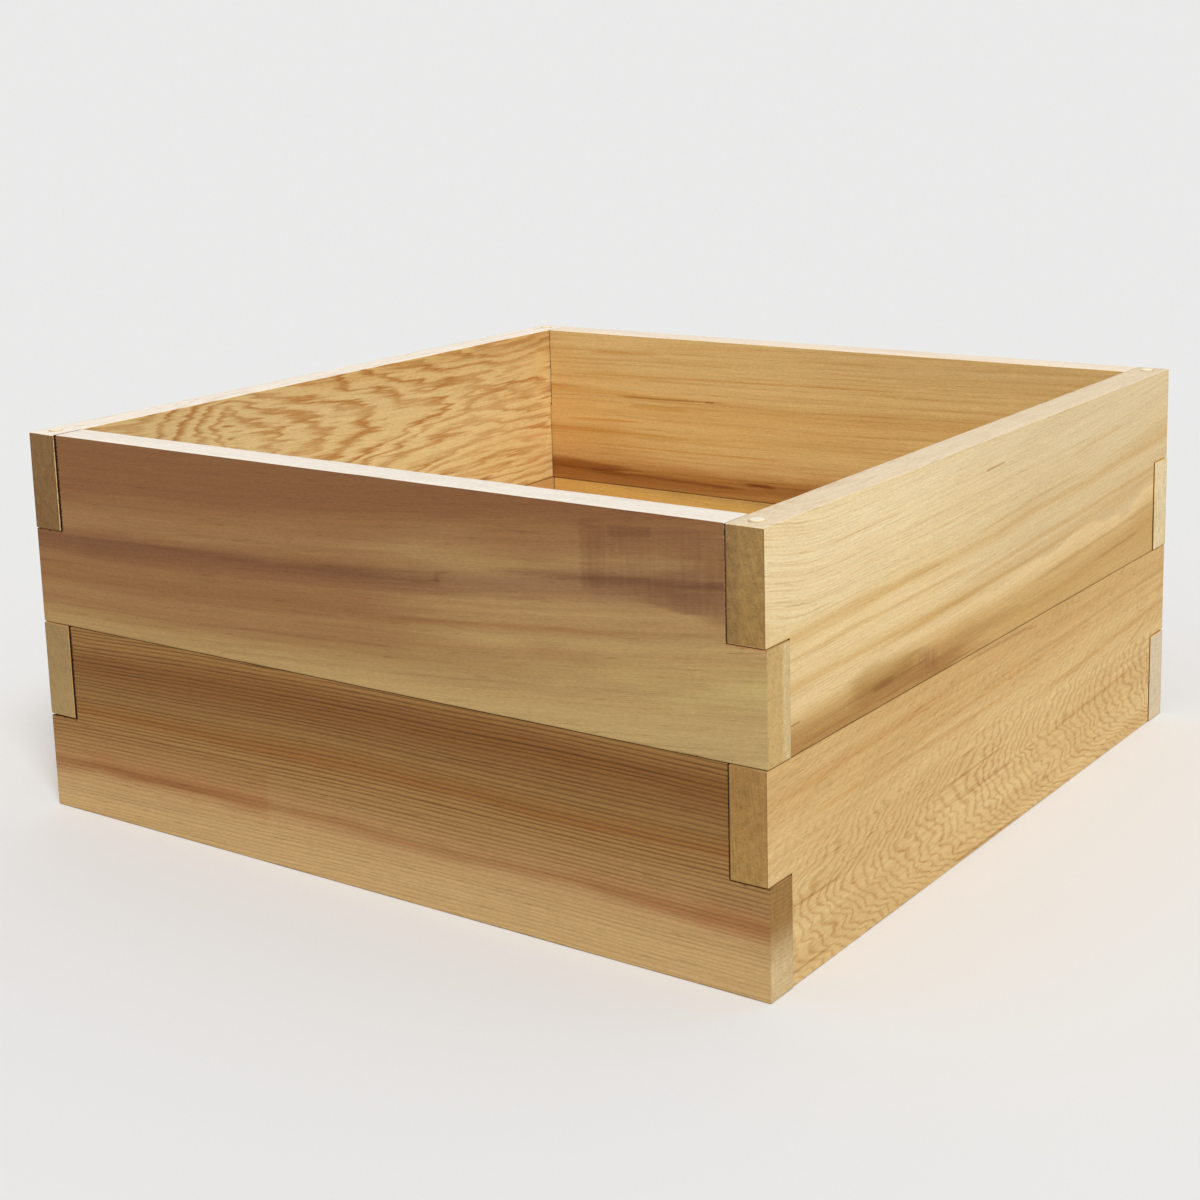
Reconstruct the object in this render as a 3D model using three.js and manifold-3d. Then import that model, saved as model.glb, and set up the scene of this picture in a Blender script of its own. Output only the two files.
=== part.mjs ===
// A raised garden bed: two courses of cedar boards on edge, interlocked at the corners by
// half-height tabs, with a round wooden pin dropped through the stacked tabs of each corner.
// Millimetres. +Z is up and +X runs along the front from left to right. The origin is on the
// ground, under the middle of the bed.

import {
  BufferAttribute,
  BufferGeometry,
  CylinderGeometry,
  ExtrudeGeometry,
  Group,
  LatheGeometry,
  Mesh,
  MeshStandardMaterial,
  Shape,
  Vector2,
} from 'three';
import { mergeVertices } from 'three/addons/utils/BufferGeometryUtils.js';
import loadManifold from 'manifold-3d';

// Driving dimensions.

const BED_WIDTH = 609.6; // along X, over the tab ends of the front and back boards
const BED_DEPTH = 609.6; // along Y, over the tab ends of the left and right boards
const BOARD_THICKNESS = 25.4;
const BOARD_HEIGHT = 139.7; // one course
const LOW_TAB_HEIGHT = 69.5; // what the front and back boards keep at their ends
const LAP_GAP = 0.7; // between the low tab and the high tab that crosses above it
const SHOULDER_GAP = 0.6; // between a notch's upright cut and the face it meets
const TAB_PROUD = 0.8; // how far a tab's end stands out past the face beside it
const ARRIS = 0.9; // rounding of the boards' edges
const ARRIS_STEPS = 2;

const PIN_DIAMETER = 9.5;
const PIN_HOLE_CLEARANCE = 0.3; // all round the pin
const PIN_PROUD = 1; // how far the pin's head stands above the top edge
const PIN_FOOT_GAP = 2.5; // from the ground up to the pin's foot
const PIN_ROUNDING = 1; // at both ends of the pin
const PIN_SIDES = 32;

// Derived sizes.

const COURSES = ['lower', 'upper'];
const BED_HEIGHT = COURSES.length * BOARD_HEIGHT;
const HIGH_TAB_HEIGHT = BOARD_HEIGHT - LOW_TAB_HEIGHT - LAP_GAP;
const CORNER_ROUNDING = 1.5 * ARRIS; // keeps a short arc where the arris runs round a corner
const NOTCH_DEPTH = TAB_PROUD + BOARD_THICKNESS + SHOULDER_GAP;
const PIN_INSET = TAB_PROUD + BOARD_THICKNESS / 2; // from the tab ends to the pin's axis
const CUT_OVERSHOOT = 5; // how far a boring tool runs past the wood

const wasm = await loadManifold();
wasm.setup();

function toManifold(geometry) {
  const bare = geometry.index ? geometry.toNonIndexed() : geometry.clone();
  bare.deleteAttribute('normal');
  bare.deleteAttribute('uv');
  const merged = mergeVertices(bare);
  const mesh = new wasm.Mesh({
    numProp: 3,
    vertProperties: new Float32Array(merged.attributes.position.array),
    triVerts: new Uint32Array(merged.index.array),
  });
  return new wasm.Manifold(mesh);
}

function toGeometry(manifold) {
  const mesh = manifold.getMesh();
  const geometry = new BufferGeometry();
  geometry.setAttribute('position', new BufferAttribute(mesh.vertProperties, mesh.numProp));
  geometry.setIndex(new BufferAttribute(mesh.triVerts, 1));
  geometry.computeVertexNormals();
  return geometry;
}

// A closed outline through corners given anticlockwise. Outward corners are rounded as sanding
// leaves them, and the inward corners of a notch stay square as the saw leaves them.
function easedOutline(corners, radius) {
  const shape = new Shape();
  corners.forEach((corner, i) => {
    const toBefore = corners.at(i - 1).clone().sub(corner);
    const toAfter = corners[(i + 1) % corners.length].clone().sub(corner);
    const outward = toAfter.cross(toBefore) > 0;
    const start = outward ? corner.clone().add(toBefore.setLength(radius)) : corner;
    if (i === 0) shape.moveTo(start.x, start.y);
    else shape.lineTo(start.x, start.y);
    if (outward) {
      const end = corner.clone().add(toAfter.setLength(radius));
      shape.quadraticCurveTo(corner.x, corner.y, end.x, end.y);
    }
  });
  shape.closePath();
  return shape;
}

// A board seen from its face, with x along its length and y up from its lower edge.
function lowTabCorners(length) {
  const end = length / 2;
  const shoulder = end - NOTCH_DEPTH;
  return [
    new Vector2(-end, 0),
    new Vector2(end, 0),
    new Vector2(end, LOW_TAB_HEIGHT),
    new Vector2(shoulder, LOW_TAB_HEIGHT),
    new Vector2(shoulder, BOARD_HEIGHT),
    new Vector2(-shoulder, BOARD_HEIGHT),
    new Vector2(-shoulder, LOW_TAB_HEIGHT),
    new Vector2(-end, LOW_TAB_HEIGHT),
  ];
}

function highTabCorners(length) {
  const end = length / 2;
  const shoulder = end - NOTCH_DEPTH;
  const underside = BOARD_HEIGHT - HIGH_TAB_HEIGHT;
  return [
    new Vector2(-shoulder, 0),
    new Vector2(shoulder, 0),
    new Vector2(shoulder, underside),
    new Vector2(end, underside),
    new Vector2(end, BOARD_HEIGHT),
    new Vector2(-end, BOARD_HEIGHT),
    new Vector2(-end, underside),
    new Vector2(-shoulder, underside),
  ];
}

// The hole that a pin passes through, bored up through one end of a board.
function pinHole(x) {
  const radius = PIN_DIAMETER / 2 + PIN_HOLE_CLEARANCE;
  const bore = new CylinderGeometry(radius, radius, BOARD_HEIGHT + 2 * CUT_OVERSHOOT, PIN_SIDES);
  bore.translate(x, BOARD_HEIGHT / 2, 0);
  return toManifold(bore);
}

function boardGeometry(corners, length) {
  const blank = new ExtrudeGeometry(easedOutline(corners, CORNER_ROUNDING), {
    depth: BOARD_THICKNESS - 2 * ARRIS,
    curveSegments: ARRIS_STEPS,
    bevelThickness: ARRIS,
    bevelSize: ARRIS,
    bevelOffset: -ARRIS,
    bevelSegments: ARRIS_STEPS,
  });
  blank.translate(0, 0, ARRIS - BOARD_THICKNESS / 2);
  const holeX = length / 2 - PIN_INSET;
  return toGeometry(toManifold(blank).subtract(pinHole(-holeX)).subtract(pinHole(holeX)));
}

// A dowel with rounded ends, standing on y = 0.
function pinGeometry() {
  const radius = PIN_DIAMETER / 2;
  const length = BED_HEIGHT + PIN_PROUD - PIN_FOOT_GAP;
  const profile = new Shape();
  profile.moveTo(0, 0);
  profile.lineTo(radius - PIN_ROUNDING, 0);
  profile.quadraticCurveTo(radius, 0, radius, PIN_ROUNDING);
  profile.lineTo(radius, length - PIN_ROUNDING);
  profile.quadraticCurveTo(radius, length, radius - PIN_ROUNDING, length);
  profile.lineTo(0, length);
  const roundingSteps = 3;
  return new LatheGeometry(profile.getPoints(roundingSteps), PIN_SIDES);
}

const garden_bed = new Group();

// Each side of the bed, turned anticlockwise from the front, with the colour of its boards.
const SIDES = [
  { name: 'front', quarterTurns: 0, tabs: 'low', colour: { lower: 0xa57d50, upper: 0xa58058 } },
  { name: 'right', quarterTurns: 1, tabs: 'high', colour: { lower: 0xd7b47d, upper: 0xe1c896 } },
  { name: 'back', quarterTurns: 2, tabs: 'low', colour: { lower: 0xc8a06a, upper: 0xb9874f } },
  { name: 'left', quarterTurns: 3, tabs: 'high', colour: { lower: 0xc99f66, upper: 0xc99a5c } },
];

const BOARDS = {
  low: { geometry: boardGeometry(lowTabCorners(BED_WIDTH), BED_WIDTH), reach: BED_DEPTH / 2 },
  high: { geometry: boardGeometry(highTabCorners(BED_DEPTH), BED_DEPTH), reach: BED_WIDTH / 2 },
};

function addBoard(side, course, level) {
  const { geometry, reach } = BOARDS[side.tabs];
  const material = new MeshStandardMaterial({ color: side.colour[course], roughness: 0.7 });
  const board = new Mesh(geometry, material);
  board.name = `${course}_${side.name}_board`;
  board.rotation.x = Math.PI / 2; // stands the board on its edge
  board.position.set(0, PIN_INSET - reach, level * BOARD_HEIGHT);
  const turned = new Group();
  turned.rotation.z = (side.quarterTurns * Math.PI) / 2;
  turned.add(board);
  garden_bed.add(turned);
}

COURSES.forEach((course, level) => {
  SIDES.forEach((side) => addBoard(side, course, level));
});

const CORNERS = [
  { name: 'front_left', x: -1, y: -1 },
  { name: 'front_right', x: 1, y: -1 },
  { name: 'back_right', x: 1, y: 1 },
  { name: 'back_left', x: -1, y: 1 },
];

CORNERS.forEach((corner) => {
  const material = new MeshStandardMaterial({ color: 0xf0e2c4, roughness: 0.6 });
  const pin = new Mesh(pinGeometry(), material);
  pin.name = `${corner.name}_pin`;
  pin.rotation.x = Math.PI / 2; // stands the pin upright
  pin.position.set(
    corner.x * (BED_WIDTH / 2 - PIN_INSET),
    corner.y * (BED_DEPTH / 2 - PIN_INSET),
    PIN_FOOT_GAP,
  );
  garden_bed.add(pin);
});

export default garden_bed;
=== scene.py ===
"""A cedar raised garden bed: two courses of boards on edge, interlocked at the corners and pinned.

Every board is a finely modelled mesh of solid wood: growth rings, fibre and stains run through its
whole thickness, so faces, edges and sawn ends agree where they meet.
"""

import math
from typing import NamedTuple

import bmesh
import bpy
from mathutils import Matrix, Vector, noise


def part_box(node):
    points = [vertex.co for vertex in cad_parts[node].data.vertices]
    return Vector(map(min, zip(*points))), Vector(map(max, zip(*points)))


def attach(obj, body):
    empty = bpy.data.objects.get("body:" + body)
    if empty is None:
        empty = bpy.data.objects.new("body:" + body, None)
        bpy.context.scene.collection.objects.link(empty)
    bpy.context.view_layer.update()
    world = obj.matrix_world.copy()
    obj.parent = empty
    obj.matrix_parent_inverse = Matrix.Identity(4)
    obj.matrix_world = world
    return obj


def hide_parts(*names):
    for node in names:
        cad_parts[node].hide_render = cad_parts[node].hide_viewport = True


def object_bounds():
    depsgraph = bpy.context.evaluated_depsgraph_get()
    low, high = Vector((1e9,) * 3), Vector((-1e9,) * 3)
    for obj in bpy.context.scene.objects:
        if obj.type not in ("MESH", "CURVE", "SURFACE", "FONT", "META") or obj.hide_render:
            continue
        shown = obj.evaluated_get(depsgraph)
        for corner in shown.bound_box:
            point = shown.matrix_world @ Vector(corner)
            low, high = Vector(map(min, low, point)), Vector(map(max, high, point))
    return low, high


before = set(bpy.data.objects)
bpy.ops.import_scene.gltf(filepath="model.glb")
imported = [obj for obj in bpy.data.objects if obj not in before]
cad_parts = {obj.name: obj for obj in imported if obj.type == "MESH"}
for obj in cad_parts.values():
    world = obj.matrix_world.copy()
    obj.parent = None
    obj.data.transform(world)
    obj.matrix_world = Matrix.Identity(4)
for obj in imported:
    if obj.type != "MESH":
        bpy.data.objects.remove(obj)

CAD_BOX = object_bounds()

MM = 0.001

# ---------------------------------------------------------------------------------------------
# Sizes, in metres: the bed's own come from the frame, and the joint's from its construction
# ---------------------------------------------------------------------------------------------

COURSES = ("lower", "upper")
FRONT_LOW, FRONT_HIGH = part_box("lower_front_board")
RIGHT_LOW, RIGHT_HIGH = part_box("lower_right_board")
BOARD_HEIGHT = FRONT_HIGH.z - FRONT_LOW.z
THICKNESS = FRONT_HIGH.y - FRONT_LOW.y
BED_WIDTH = FRONT_HIGH.x - FRONT_LOW.x
BED_DEPTH = RIGHT_HIGH.y - RIGHT_LOW.y
TAB_PROUD = FRONT_LOW.y - CAD_BOX[0].y  # a tab's end stands this far past the face beside it

LOW_TAB_HEIGHT = 69.5 * MM
LAP_GAP = 0.7 * MM
SHOULDER_GAP = 0.6 * MM
NOTCH_DEPTH = TAB_PROUD + THICKNESS + SHOULDER_GAP

PIN_LOW, PIN_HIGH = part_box("front_left_pin")
PIN_RADIUS = (PIN_HIGH.x - PIN_LOW.x) / 2
PIN_INSET = TAB_PROUD + THICKNESS / 2
PIN_ROUNDING = 1 * MM
PIN_LEAN = 0.25 * MM  # how far a pin stands off the middle of its hole
PIN_WEAR = 0.05 * MM
PIN_CLEARANCE = 0.3 * MM
HOLE_RADIUS = PIN_RADIUS + PIN_CLEARANCE
ROUND_SIDES = 48  # of a pin and its hole

PLANED_ARRIS = 0.8 * MM  # the eased long edges
SAWN_ARRIS = 0.35 * MM  # the crisp edges of ends and notches
WEAR_CHANGE = 0.35  # the share by which the arrises vary along them
WORN_CORNER = 0.3 * MM
FACE_HOLLOW = 0.1 * MM  # a planed face is this much hollow on average
EDGE_HOLLOW = 0.12 * MM
ARRIS_STEPS = 3
EDGE_STEPS = 4
GRID = 5 * MM
EDGE_GRID = 0.8 * MM  # extra lines beside every corner, so that it can be worn
SHARP_ANGLE = math.radians(32)

# ---------------------------------------------------------------------------------------------
# Camera, lights and floor
# ---------------------------------------------------------------------------------------------

IMAGE_SIDE = 1200
FOCAL_PIXELS = 2081.4
HORIZON_SHIFT = -0.125
CAMERA_PLACE = Vector((0.8761, -1.2506, 0.5424))
CAMERA_YAW, CAMERA_PITCH, CAMERA_ROLL = (math.radians(a) for a in (-35.73, 11.16, -1.56))


def new_object(name, data):
    made = bpy.data.objects.new(name, data)
    bpy.context.collection.objects.link(made)
    return made


def make_camera():
    forward = Vector((
        math.sin(CAMERA_YAW) * math.cos(CAMERA_PITCH),
        math.cos(CAMERA_YAW) * math.cos(CAMERA_PITCH),
        -math.sin(CAMERA_PITCH),
    ))
    level = Vector((math.cos(CAMERA_YAW), -math.sin(CAMERA_YAW), 0))
    upright = level.cross(forward)
    right = math.cos(CAMERA_ROLL) * level + math.sin(CAMERA_ROLL) * upright
    up = right.cross(forward)
    data = bpy.data.cameras.new("camera")
    data.sensor_width = 36
    data.lens = FOCAL_PIXELS / IMAGE_SIDE * data.sensor_width
    data.shift_y = HORIZON_SHIFT
    camera = new_object("camera", data)
    turn = Matrix((right, up, -forward)).transposed()
    camera.matrix_world = Matrix.Translation(CAMERA_PLACE) @ turn.to_4x4()
    bpy.context.scene.camera = camera


SUN_TOWARDS = Vector((0.50, -0.42, 0.76)).normalized()
SUN_COLOUR = (1.0, 0.985, 0.95)
SUN_ENERGY = 1.75
SUN_WIDTH = math.radians(20)  # wide, for soft shadows
SKY_STRENGTH = 0.55
FLOOR_TONE = (0.85, 0.855, 0.865)
FLOOR_RADIUS = 40


def make_sun():
    data = bpy.data.lights.new("sun", "SUN")
    data.energy = SUN_ENERGY
    data.angle = SUN_WIDTH
    data.color = SUN_COLOUR
    sun = new_object("sun", data)
    sun.rotation_euler = SUN_TOWARDS.to_track_quat("Z", "Y").to_euler()


def make_world():
    """An even sky. The camera sees it in the tone of the lit floor, so that no horizon shows."""
    world = bpy.data.worlds.new("studio")
    world.use_nodes = True
    graph = Graph(world.node_tree, clear=True)
    rays = graph.node("ShaderNodeLightPath")
    sunlight = SUN_ENERGY * SUN_TOWARDS.z / math.pi
    lit = [tone * (SKY_STRENGTH + sunlight * tint) for tone, tint in zip(FLOOR_TONE, SUN_COLOUR)]
    sky = graph.node("ShaderNodeBackground", {"Color": (1, 1, 1, 1), "Strength": SKY_STRENGTH})
    paper = graph.node("ShaderNodeBackground", {"Color": (*lit, 1), "Strength": 1})
    shader = graph.node(
        "ShaderNodeMixShader", {0: rays.outputs["Is Camera Ray"], 1: sky.outputs[0], 2: paper.outputs[0]}
    )
    graph.node("ShaderNodeOutputWorld", {"Surface": shader.outputs[0]})
    bpy.context.scene.world = world


def make_floor():
    mesh = bpy.data.meshes.new("floor")
    form = bmesh.new()
    bmesh.ops.create_circle(form, cap_ends=True, segments=2 * ROUND_SIDES, radius=FLOOR_RADIUS)
    form.to_mesh(mesh)
    form.free()
    floor = new_object("floor", mesh)
    material, graph = new_material("floor")
    shader = graph.node("ShaderNodeBsdfDiffuse", {"Color": (*FLOOR_TONE, 1)})
    graph.node("ShaderNodeOutputMaterial", {"Surface": shader.outputs[0]})
    mesh.materials.append(material)


# ---------------------------------------------------------------------------------------------
# Shader graphs
# ---------------------------------------------------------------------------------------------


class Graph:
    """Adds nodes to one node tree. A value may be a number, a colour, a vector or a socket."""

    def __init__(self, tree, clear=False):
        self.tree = tree
        if clear:
            tree.nodes.clear()

    def feed(self, socket, value):
        if isinstance(value, bpy.types.NodeSocket):
            self.tree.links.new(value, socket)
        else:
            socket.default_value = value

    def node(self, kind, values=None, **settings):
        made = self.tree.nodes.new(kind)
        for name, setting in settings.items():
            setattr(made, name, setting)
        for socket, value in (values or {}).items():
            self.feed(made.inputs[socket], value)
        return made

    def math(self, operation, *values, clamp=False):
        made = self.node("ShaderNodeMath", dict(enumerate(values)), operation=operation, use_clamp=clamp)
        return made.outputs[0]

    def minus(self, a, b):
        return self.math("SUBTRACT", a, b)

    def times(self, *values):
        product = values[0]
        for value in values[1:]:
            product = self.math("MULTIPLY", product, value)
        return product

    def total(self, start, *terms):
        """The start value plus each term's value times its weight."""
        for value, weight in terms:
            start = self.math("MULTIPLY_ADD", value, weight, start)
        return start

    def vector(self, operation, *values):
        return self.node("ShaderNodeVectorMath", dict(enumerate(values)), operation=operation).outputs[0]

    def scaled(self, vector, factor):
        return self.node("ShaderNodeVectorMath", {0: vector, "Scale": factor}, operation="SCALE").outputs[0]

    def xyz(self, x, y, z):
        return self.node("ShaderNodeCombineXYZ", {0: x, 1: y, 2: z}).outputs[0]

    def split(self, vector):
        return self.node("ShaderNodeSeparateXYZ", {0: vector}).outputs

    def noise(self, vector, detail=2, roughness=0.5):
        values = {"Vector": vector, "Scale": 1, "Detail": detail, "Roughness": roughness}
        return self.node("ShaderNodeTexNoise", values).outputs["Fac"]

    def centred_noise(self, vector, detail=2, roughness=0.5):
        """Noise from about -1 to 1."""
        return self.math("MULTIPLY_ADD", self.noise(vector, detail, roughness), 3, -1.5)

    def ease(self, value, start, end, low=0.0, high=1.0):
        """Eases from low to high as the value goes from start to end."""
        values = {"Value": value, 1: start, 2: end, 3: low, 4: high}
        return self.node("ShaderNodeMapRange", values, interpolation_type="SMOOTHSTEP").outputs[0]

    def mix(self, factor, a, b, blend="MIX"):
        values = {0: factor, 6: a, 7: b}
        made = self.node("ShaderNodeMix", values, data_type="RGBA", blend_type=blend)
        return made.outputs[2]

    def ramp(self, value, stops):
        made = self.node("ShaderNodeValToRGB", {0: value})
        elements = made.color_ramp.elements
        while len(elements) < len(stops):
            elements.new(0.5)
        for element, (place, colour) in zip(elements, stops):
            element.position = place
            element.color = colour
        return made.outputs[0]

    def group(self, tree, values):
        made = self.tree.nodes.new("ShaderNodeGroup")
        made.node_tree = tree
        for name, value in values.items():
            self.feed(made.inputs[name], value)
        return made.outputs


def new_group(name, inputs, outputs):
    """An empty node group: its tree and graph, and the sockets of its inputs and of its outputs."""
    tree = bpy.data.node_groups.new(name, "ShaderNodeTree")
    for side, sockets in (("INPUT", inputs), ("OUTPUT", outputs)):
        for socket, kind in sockets.items():
            tree.interface.new_socket(name=socket, in_out=side, socket_type="NodeSocket" + kind)
    graph = Graph(tree)
    return tree, graph, graph.node("NodeGroupInput").outputs, graph.node("NodeGroupOutput").inputs


def new_material(name):
    """A material without nodes, and its graph."""
    material = bpy.data.materials.new(name)
    material.use_nodes = True
    return material, Graph(material.node_tree, clear=True)


def linear(red, green, blue):
    """A colour given as 0 to 255 screen values, as a shader wants it."""
    channels = (c / 255 for c in (red, green, blue))
    return (*(c / 12.92 if c <= 0.04045 else ((c + 0.055) / 1.055) ** 2.4 for c in channels), 1)


# ---------------------------------------------------------------------------------------------
# Solid wood. Grain space is in millimetres: x along the board from the bed's front or left end,
# y down from the board's top edge, and z inward from its outer face.
# ---------------------------------------------------------------------------------------------


def wood_group():
    """What follows the grain: growth rings round a pith that lies along the board, and the fibre.

    Level is the depth from the top edge, bent so that the grain lies level in it. Rise is how far
    the upper grain has risen at the board's left end. Turn is the place along the board where the
    flames turn round, and from as far as Settle past it the rings no longer taper.
    """
    numbers = (
        "Seed", "Slope", "Bow", "Pith down", "Pith inward", "Taper", "Ring width", "Drift", "Waver",
        "Crinkle", "Tear", "Sharpness", "Variation", "Patchiness", "Broken", "Rise", "Turn", "Settle",
    )
    measures = (
        "Level", "Line", "Luck", "Streak", "Fine", "Speck", "Dash", "Cloud", "Bend", "Fray", "Hatch",
    )
    tree, g, given, out = new_group(
        "wood", {"Grain": "Vector", **dict.fromkeys(numbers, "Float")}, dict.fromkeys(measures, "Float")
    )
    along, down, inward = g.split(given["Grain"])
    middle = g.minus(along, BED_WIDTH / MM / 2)
    bowed = g.times(middle, middle)
    towards_end = g.ease(along, -20, 100, 1, 0)
    risen = g.times(towards_end, towards_end, g.ease(down, 70, 48))
    level = g.total(down, (middle, given["Slope"]), (bowed, given["Bow"]), (risen, given["Rise"]))
    shift = g.scaled((131, 57, 83), given["Seed"])
    flow = g.vector("ADD", g.xyz(along, level, inward), shift)

    def bumps(per_mm, detail=2, roughness=0.5, make=g.centred_noise):
        """Noise with this many bumps per millimetre along, down and inward."""
        return make(g.vector("MULTIPLY", flow, per_mm), detail, roughness)

    drift = bumps((0.0032, 0.009, 0.02), 1)
    waver = bumps((0.009, 0.04, 0.05))
    crinkle = bumps((0.06, 0.15, 0.2))
    tear = bumps((0.014, 0.22, 0.25), 3, 0.6)
    off_down = g.minus(level, given["Pith down"])
    off_inward = g.minus(inward, given["Pith inward"])
    radius = g.math("SQRT", g.total(g.times(off_down, off_down), (off_inward, off_inward)))

    # The rings taper both ways from the turn, three times as fast on its left.
    past = g.minus(along, given["Turn"])
    run = g.math("SMOOTH_MAX", past, g.times(past, -3), 40)
    run = g.math("SMOOTH_MIN", run, given["Settle"], 80)
    radius = g.total(
        radius, (run, given["Taper"]), (drift, given["Drift"]), (waver, given["Waver"]),
        (crinkle, given["Crinkle"]), (tear, given["Tear"]),
    )
    age = g.math("DIVIDE", radius, given["Ring width"])
    uneven = g.centred_noise(g.xyz(g.times(age, 0.31), given["Seed"], 0), 1)
    age = g.total(age, (uneven, 0.45))
    within = g.math("FRACT", age)
    year = g.math("FLOOR", age)
    late = g.times(g.ease(within, given["Sharpness"], 0.75), g.ease(within, 0.75, 1.0, 1, 0))
    luck = g.node(
        "ShaderNodeTexWhiteNoise", {"W": g.math("ADD", year, given["Seed"])}, noise_dimensions="1D"
    ).outputs["Value"]
    strength = g.minus(1, g.times(luck, given["Variation"]))
    patch = g.ease(bumps((0.012, 0.09, 0.09), make=g.noise), 0.36, 0.62)
    patch = g.minus(1, g.times(patch, given["Patchiness"]))
    gap = g.ease(bumps((0.03, 0.45, 0.45), make=g.noise), 0.4, 0.6)
    gap = g.minus(1, g.times(gap, given["Broken"]))

    g.feed(out["Level"], level)
    g.feed(out["Line"], g.times(late, strength, patch, gap))
    g.feed(out["Luck"], luck)
    g.feed(out["Streak"], bumps((0.006, 0.22, 0.22), 4, 0.6))
    g.feed(out["Fine"], bumps((0.035, 1.3, 1.3), 3, 0.6))
    g.feed(out["Speck"], bumps((0.28, 0.85, 0.85)))
    g.feed(out["Dash"], g.ease(bumps((0.055, 0.9, 0.9), 1, make=g.noise), 0.66, 0.76))
    g.feed(out["Cloud"], bumps((0.0035, 0.03, 0.03), 3))
    g.feed(out["Bend"], waver)
    g.feed(out["Fray"], bumps((0.012, 0.33, 0.33), 3, 0.6))
    g.feed(out["Hatch"], g.centred_noise(g.vector("MULTIPLY", given["Grain"], (0.3, 0.022, 0.022)), 2))
    return tree


class Stain(NamedTuple):
    """A band of another tone, along the board and a little bent, in millimetres of grain space."""

    start: float
    end: float
    down_at_start: float
    down_at_end: float
    half_width: float
    tint: tuple
    strength: float
    fade: float = 30  # how far it runs out past each end
    core: float = 0.25  # the share of its half width that has the full strength
    hatch: float = 0  # how strongly it is broken up across the board


def stain_group():
    """Lays one stain over a colour. It frays along the grain."""
    numbers = (
        "Along", "Down", "Bend", "Fray", "Hatch", "Start", "End", "Down at start", "Down at end",
        "Half width", "Strength", "Fade", "Core", "Broken",
    )
    inputs = {"Colour": "Color", "Tint": "Color", **dict.fromkeys(numbers, "Float")}
    tree, g, given, out = new_group("stain", inputs, {"Colour": "Color"})
    length = g.minus(given["End"], given["Start"])
    share = g.math("DIVIDE", g.minus(given["Along"], given["Start"]), length)
    drop = g.minus(given["Down at end"], given["Down at start"])
    centre = g.math("MULTIPLY_ADD", drop, share, given["Down at start"])
    away = g.minus(given["Down"], centre)
    away = g.total(away, (g.times(given["Bend"], given["Half width"]), 0.35))
    frayed = g.times(given["Fray"], g.math("MINIMUM", given["Half width"], 8))
    away = g.total(g.math("ABSOLUTE", away), (frayed, 0.45))
    full = g.times(given["Half width"], given["Core"])
    across = g.ease(away, full, given["Half width"], 1, 0)
    reach = g.times(given["Fray"], g.math("MINIMUM", given["Fade"], 50))
    ragged = g.total(given["Along"], (reach, 0.8))
    begun = g.ease(ragged, g.minus(given["Start"], given["Fade"]), given["Start"])
    ended = g.ease(ragged, given["End"], g.math("ADD", given["End"], given["Fade"]), 1, 0)
    whole = g.total(1, (given["Hatch"], given["Broken"]))
    amount = g.math("MULTIPLY", g.times(across, begun, ended, whole), given["Strength"], clamp=True)
    g.feed(out["Colour"], g.mix(amount, given["Colour"], given["Tint"], "MULTIPLY"))
    return tree


WOOD, STAIN = wood_group(), stain_group()

# Each side's axis along the board, its axis through the thickness, and whether that points inward.
SIDE_AXES = {"front": (0, 1, 1), "back": (0, 1, -1), "left": (1, 0, 1), "right": (1, 0, -1)}


def grain_space(g, side, top):
    """Grain space of the board on this side whose top edge is at this height."""
    along_axis, inward_axis, sign = SIDE_AXES[side]
    place = g.split(g.scaled(g.node("ShaderNodeTexCoord").outputs["Object"], 1 / MM))
    half = (BED_WIDTH, BED_DEPTH)[along_axis] / 2 / MM
    face = (BED_WIDTH, BED_DEPTH)[inward_axis] / 2 / MM - TAB_PROUD / MM
    along = g.math("ADD", place[along_axis], half)
    down = g.minus(top / MM, place[2])
    inward = g.math("MULTIPLY_ADD", place[inward_axis], sign, face)
    return g.xyz(along, down, inward)


def on_ends(g, axis):
    """1 where the surface faces along an axis, either way, and 0 on the sides."""
    facing = g.split(g.node("ShaderNodeTexCoord").outputs["Normal"])[axis]
    return g.ease(g.math("ABSOLUTE", facing), 0.6, 0.9)


def bare_wood(g, colour, roughness, shine, height, bump, depth):
    """The shader of unfinished wood, whose height makes a bump as strong and as deep as this."""
    relief = g.node("ShaderNodeBump", {"Strength": bump, "Distance": depth, "Height": height})
    shader = g.node("ShaderNodeBsdfPrincipled", {
        "Base Color": colour, "Roughness": roughness, "Specular IOR Level": shine,
        "Normal": relief.outputs[0],
    })
    g.node("ShaderNodeOutputMaterial", {"Surface": shader.outputs[0]})


def band_colour(g, level, bands):
    """The colour of the layer of the tree that lies at this level."""
    low, high = bands[0][0], bands[-1][0]
    share = g.math("DIVIDE", g.minus(level, low), high - low)
    return g.ramp(share, [((place - low) / (high - low), linear(*tone)) for place, tone in bands])


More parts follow.
